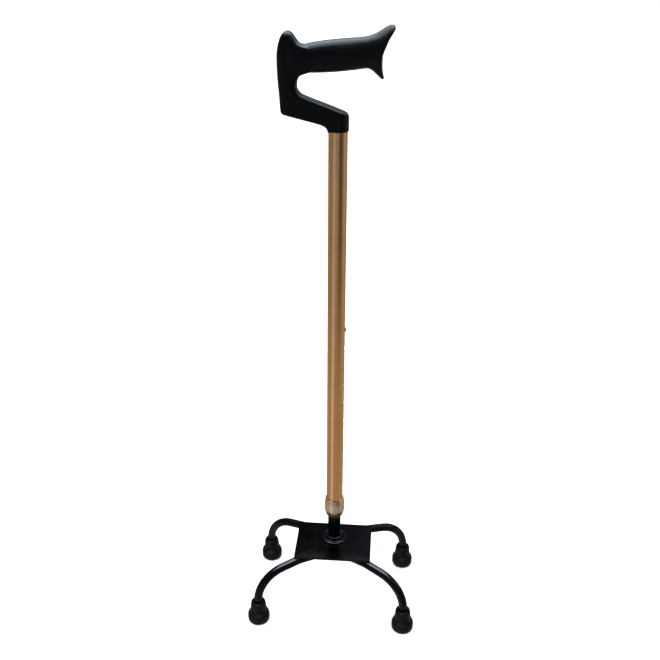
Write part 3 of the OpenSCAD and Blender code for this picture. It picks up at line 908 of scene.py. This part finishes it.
def weld_mesh():
    """Rippled beads along both sides of each leg tube, under the plate."""
    parts = []
    count, around = 56, 20
    for front in (-1, 1):
        for side in (-1, 1):
            rings = []
            for k in range(count + 1):
                u = k / count
                ripple = 0.16 * math.cos(2 * math.pi * u * 13)
                taper = math.sqrt(max(0.0, 1 - (2 * u - 1) ** 8))
                r = max(0.05, (BEAD_R + ripple) * taper)
                y = front * LEG_Y + side * BEAD_OUT
                a = np.linspace(0, 2 * math.pi, around, endpoint=False)
                rings.append(np.stack([np.full(around, (u - 0.5) * BEAD_L + ripple * 1.4),
                                       y + r * np.cos(a),
                                       PLATE_UNDER - 0.9 + 0.85 * r * np.sin(a)], axis=1))
            parts.append(loop_skin(rings, close_ends=True))
    return merge(*parts)


piece("welds", *weld_mesh(), "leg_welds", "base", "black_steel")

# ------------------------------------------------------------------ tips

# Tip: grooved sole, wide foot, waist and rolled rim, with a bore for the leg
CORNERS = ("front_left", "front_right", "back_left", "back_right")
TIP_R = float(TIP_HIGH[0] - TIP_LOW[0]) / 2 - 0.01
TIP_H = float(TIP_HIGH[2])
SEAT_Z = 4.82
SEAT_TOP = 5.98
tip_outline = np.concatenate([
    [[0, 0.9], [3.0, 0.9], [3.4, 0.0], [5.4, 0.0], [5.8, 0.9], [7.4, 0.9], [7.8, 0.0],
     [10.0, 0.0]],
    bezier([TIP_R - 2.4, 0], [TIP_R - 0.9, 0.15], [TIP_R - 0.25, 1.6], [TIP_R - 0.15, 4]),
    bezier([TIP_R - 0.15, 4], [TIP_R, 5.5], [TIP_R, 7], [TIP_R, 8.8], 5),
    bezier([TIP_R, 8.8], [TIP_R, 10.9], [13.2, 12.8], [12.0, 14.6]),
    bezier([12.0, 14.6], [10.9, 16.6], [10.35, 18.2], [10.25, 20.6], 12),
    bezier([10.25, 20.6], [10.15, 23], [10.0, 25.4], [9.9, 26.4], 6),
    bezier([9.9, 26.4], [9.7, 28.4], [9.0, TIP_H - 0.2], [7.8, TIP_H], 10),
    bezier([7.8, TIP_H], [6.8, TIP_H], [5.9, TIP_H - 0.2], [LEG_R + 0.03, TIP_H - 1.0], 5),
    [[LEG_R + 0.03, TIP_H - 1.2], [LEG_R + 0.03, SEAT_Z], [0, SEAT_Z]],
])
tip_mesh = lathe(tip_outline, 96, closed=False)
washer_mesh = lathe(soft([(1.0, SEAT_Z, 0.2), (LEG_R - 0.1, SEAT_Z, 0.25),
                          (LEG_R - 0.1, SEAT_TOP, 0.25), (1.0, SEAT_TOP, 0.2)], 4), 64)
for name in CORNERS:
    x = FOOT_X * (-1 if "left" in name else 1)
    y = FOOT_Y * (-1 if "front" in name else 1)
    piece(f"{name}_rubber", *tip_mesh, f"{name}_tip", "base", "tip_rubber", (x, y, 0))
    piece(f"{name}_disc", *washer_mesh, f"{name}_tip_washer", "base", "zinc_steel", (x, y, 0))

# ------------------------------------------------------------------ inner pieces

WASHER_LOW, WASHER_HIGH = box_mm("stem_washer")
w0, w1 = WASHER_LOW[2], WASHER_HIGH[2]
WASHER_R = float(WASHER_HIGH[0] - WASHER_LOW[0]) / 2
piece("washer", *lathe(soft([(4.2, w0, 0.2), (WASHER_R, w0, 0.35), (WASHER_R, w1, 0.2),
                             (4.2, w1, 0.2)], 4), 96),
      "stem_washer", "base", "zinc_steel", (0, STEM_Y, 0))

RING_LOW, RING_HIGH = box_mm("compression_ring")
r0, r1 = RING_LOW[2], RING_HIGH[2]
piece("nylon_ring", *lathe(soft([(INNER_R + 0.08, r0, 0.2), (10.1, r0, 0.4), (10.1, r1, 0.2),
                                 (INNER_R + 0.08, r1, 0.3)], 5), 96),
      "compression_ring", "ring", "nylon", (0, STEM_Y, 0))

PLUG_LOW, PLUG_HIGH = box_mm("stem_plug")
p0, p1 = PLUG_LOW[2], PLUG_HIGH[2]
piece("threaded_insert", *lathe(soft([(4.01, p0, 0.3), (INSERT_R, p0, 0.4), (INSERT_R, p1, 0.4),
                                      (4.01, p1, 0.3)], 4), 96),
      "stem_plug", "base", "zinc_steel", (0, STEM_Y, 0))

BUSH_LOW, BUSH_HIGH = box_mm("guide_bush")
g0, g1 = BUSH_LOW[2], BUSH_HIGH[2]
collar_z, collar_r = g1 - 6, TUBE_BORE - 0.1
piece("glide", *lathe(soft([(4.6, g0, 0.3), (INSERT_R, g0, 0.5), (INSERT_R, collar_z, 0),
                            (collar_r, collar_z, 0.4), (collar_r, g1, 1.0),
                            (4.6, g1, 0.5)], 5), 96),
      "guide_bush", "base", "dark_nylon", (0, STEM_Y, 0))


def finish_cad(node, slot, bevel):
    """Material, smooth faces and soft edges for a CAD node that stays as it is."""
    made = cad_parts[node]
    made.data.materials.clear()
    made.data.materials.append(MATERIALS[slot])
    edges = made.modifiers.new("soft_edges", "BEVEL")
    edges.width = bevel * MM
    edges.segments = 2
    edges.limit_method = "ANGLE"
    edges.angle_limit = math.radians(40)
    made.data.shade_smooth()
    made.data.set_sharp_from_angle(angle=math.radians(35))


finish_cad("collet_bush", "nylon", 0.12)
finish_cad("snap_spring", "spring_steel", 0.06)

# ------------------------------------------------------------------ floor and backdrop


def stage_mesh(name, verts, faces, surface):
    """Smooth mesh in metres for the floor or backdrop, attached to no body of the cane."""
    mesh = bpy.data.meshes.new(name)
    mesh.from_pydata([tuple(v) for v in verts], [], faces)
    mesh.shade_smooth()
    made = bpy.data.objects.new(name, mesh)
    bpy.context.scene.collection.objects.link(made)
    mesh.materials.append(surface)
    return made


def floor_paint(g):
    speckle = g.noise(40, 3)
    return {"Base Color": g.mix(speckle, (0.885, 0.885, 0.885), (0.905, 0.905, 0.905))}


floor_surface = material("floor_paint", floor_paint, Roughness=0.9, Specular_IOR_Level=0.0)
size = 14.0
floor = stage_mesh("floor", [(-size, -size, 0), (size, -size, 0), (size, size, 0),
                             (-size, size, 0)], [(0, 1, 2, 3)], floor_surface)
floor.visible_glossy = False
floor.visible_shadow = False
floor.visible_diffuse = False

wall_surface = bpy.data.materials.new("wall_light")
wall_surface.use_nodes = True
wall_graph = Graph(wall_surface.node_tree)
glow = wall_graph.node("Emission", {"Color": (1, 1, 1, 1), "Strength": 1.0})
wall_graph.node("OutputMaterial", {"Surface": glow.outputs[0]})
wall_verts, wall_faces = lathe([(13.0, -0.5), (13.0, 6.0), (9.0, 10.0), (0, 12.0)], 48,
                               closed=False)
wall = stage_mesh("backdrop", wall_verts, wall_faces, wall_surface)
for flag in ("diffuse", "glossy", "transmission", "volume_scatter", "shadow"):
    setattr(wall, "visible_" + flag, False)

# ------------------------------------------------------------------ lights


def world_light(g):
    """Dim room with soft strips, by direction. Azimuth 0 is towards -Y, positive to +X."""
    x, y, z = g.node("SeparateXYZ", {0: g.node("TexCoord").outputs["Generated"]}).outputs
    azimuth = g.math("ARCTAN2", x, g.math("MULTIPLY", y, -1.0))

    # The lower half is what the shaft reflects, the upper half what the plate and grip do
    below = g.remap(z, -0.05, 0.05, 1.0, 0.0)
    near = g.remap(z, -0.52, -0.32, 1.0, 0.0)
    strip = g.band(azimuth, math.radians(-38), math.radians(7), math.radians(16))
    gap = g.band(azimuth, math.radians(40), math.radians(16), math.radians(22))
    right = g.band(azimuth, math.radians(98), math.radians(12), math.radians(18))
    far = g.math("SUBTRACT", 1.0, near)
    ahead = g.band(azimuth, math.radians(-4), math.radians(14), math.radians(16))
    cool = g.math("MULTIPLY", ahead, far)
    side = g.remap(x, -0.11, 0.05)
    colour = g.mix(side, (0.014, 0.016, 0.020), (0.24, 0.26, 0.31))
    colour = g.mix(g.remap(z, 0.30, 0.50, 1.0, 0.0), colour, (0.07, 0.08, 0.095))
    ground = g.mix(near, (0.34, 0.30, 0.26), (0.46, 0.41, 0.36))
    ground = g.mix(g.math("MULTIPLY", gap, g.math("MULTIPLY", far, 0.80)), ground,
                   (0.045, 0.045, 0.05))
    ground = g.mix(g.math("MULTIPLY", right, g.math("MULTIPLY", far, 0.6)), ground,
                   (0.50, 0.54, 0.62))
    ground = g.mix(g.math("MULTIPLY", cool, 0.60), ground, (0.32, 0.40, 0.52))
    bright = g.mix(near, (0.52, 0.66, 0.92), (0.92, 1.02, 1.35))
    ground = g.mix(g.math("MULTIPLY", strip, 0.75), ground, bright)
    return g.mix(below, colour, ground)


world = bpy.data.worlds.new("studio")
world.use_nodes = True
bpy.context.scene.world = world
graph = Graph(world.node_tree)
background = graph.node("Background", {"Color": world_light(graph), "Strength": 1.0})
graph.node("OutputWorld", {"Surface": background.outputs[0]})


def softbox(name, place, target, width, height, radiance, colour):
    """Area light at place, facing target, with that brightness over its face."""
    data = bpy.data.lights.new(name, "AREA")
    data.shape = "RECTANGLE"
    data.size, data.size_y = width, height
    data.energy = radiance * math.pi * width * height
    data.color = colour
    made = bpy.data.objects.new(name, data)
    bpy.context.scene.collection.objects.link(made)
    made.location = place
    made.rotation_euler = (Vector(target) - Vector(place)).to_track_quat("-Z", "Y").to_euler()
    made.visible_camera = False
    return made


def only_on(light, names):
    """Limits a light to some objects."""
    lit = bpy.data.collections.new("lit_by_" + light.name)
    for name in names:
        lit.objects.link(bpy.data.objects[name])
    light.light_linking.receiver_collection = lit


RUBBERS = [f"{name}_rubber" for name in CORNERS]
# Name, place, what it faces, width, height, brightness, colour and the only pieces it lights
for name, place, target, width, height, radiance, colour, pieces in (
        ("top_box", (0, 0.35, 1.9), (0, 0.35, 0.3), 1.4, 1.2, 1.4, (0.84, 0.93, 1.0), None),
        ("back_box", (0, 0.55, 1.12), (0, 0, 0.72), 1.4, 0.6, 1.0, (0.76, 0.89, 1.0), None),
        ("left_box", (-0.9, -0.3, 2.0), (0, 0, 0.6), 0.6, 0.6, 9.0, (0.88, 0.95, 1.0), None),
        ("right_box", (1.7, 0.3, 1.1), (0, 0, 0.3), 0.35, 1.0, 4.0, (0.92, 0.96, 1.0), None),
        ("handle_top", (0, 0.3, 1.85), (0, 0, 0.72), 1.6, 1.3, 9.0, (0.76, 0.90, 1.0),
         ["handle_body"]),
        ("handle_back", (0, 0.5, 1.3), (0, 0, 0.72), 1.6, 0.5, 1.5, (0.74, 0.89, 1.0),
         ["handle_body"]),
        ("base_box", (0, 0.15, 1.3), (0, 0.15, 0), 1.2, 1.2, 15.0, (0.80, 0.88, 1.0),
         ["leg_back", "leg_front", "welds", "hub"]),
        ("front_box", (-0.2, -1.3, 1.1), (0, 0, 0), 2.0, 0.8, 7.0, (0.86, 0.94, 1.0),
         RUBBERS)):
    box = softbox(name, place, target, width, height, radiance, colour)
    if pieces:
        only_on(box, pieces)

# Light for the floor alone, so that it stays pale
floor_sun = bpy.data.lights.new("floor_sun", "SUN")
floor_sun.energy = 5.2
floor_sun.angle = math.radians(110)
sun = bpy.data.objects.new("floor_sun", floor_sun)
bpy.context.scene.collection.objects.link(sun)
sun.rotation_euler = (math.radians(8), math.radians(-10), 0)
only_on(sun, ["floor"])

# ------------------------------------------------------------------ camera

FOCAL_PX = 820.6
FRAME_PX = 660
camera_data = bpy.data.cameras.new("camera")
camera_data.sensor_width = 36.0
camera_data.lens = FOCAL_PX / FRAME_PX * camera_data.sensor_width
camera_data.clip_start, camera_data.clip_end = 0.05, 60.0
camera = bpy.data.objects.new("camera", camera_data)
bpy.context.scene.collection.objects.link(camera)
# Heading, downward tilt and lean, with the centre of the view half a pixel off
half_px = 0.5 / FOCAL_PX
yaw, pitch, roll = -0.0734821 - half_px, 0.4364555 - half_px, -0.0061606
forward = Vector((math.sin(yaw) * math.cos(pitch), math.cos(yaw) * math.cos(pitch),
                  -math.sin(pitch)))
right = Vector((math.cos(yaw), -math.sin(yaw), 0))
down = forward.cross(right)
right, down = (right * math.cos(roll) + down * math.sin(roll),
               down * math.cos(roll) - right * math.sin(roll))
turn = Matrix((right, -down, -forward)).transposed()
camera.rotation_mode = "QUATERNION"
camera.rotation_quaternion = turn.to_quaternion()
camera.location = Vector((58.29, -881.3, 808.35)) * MM
bpy.context.scene.camera = camera
bpy.context.scene.view_settings.view_transform = "Standard"
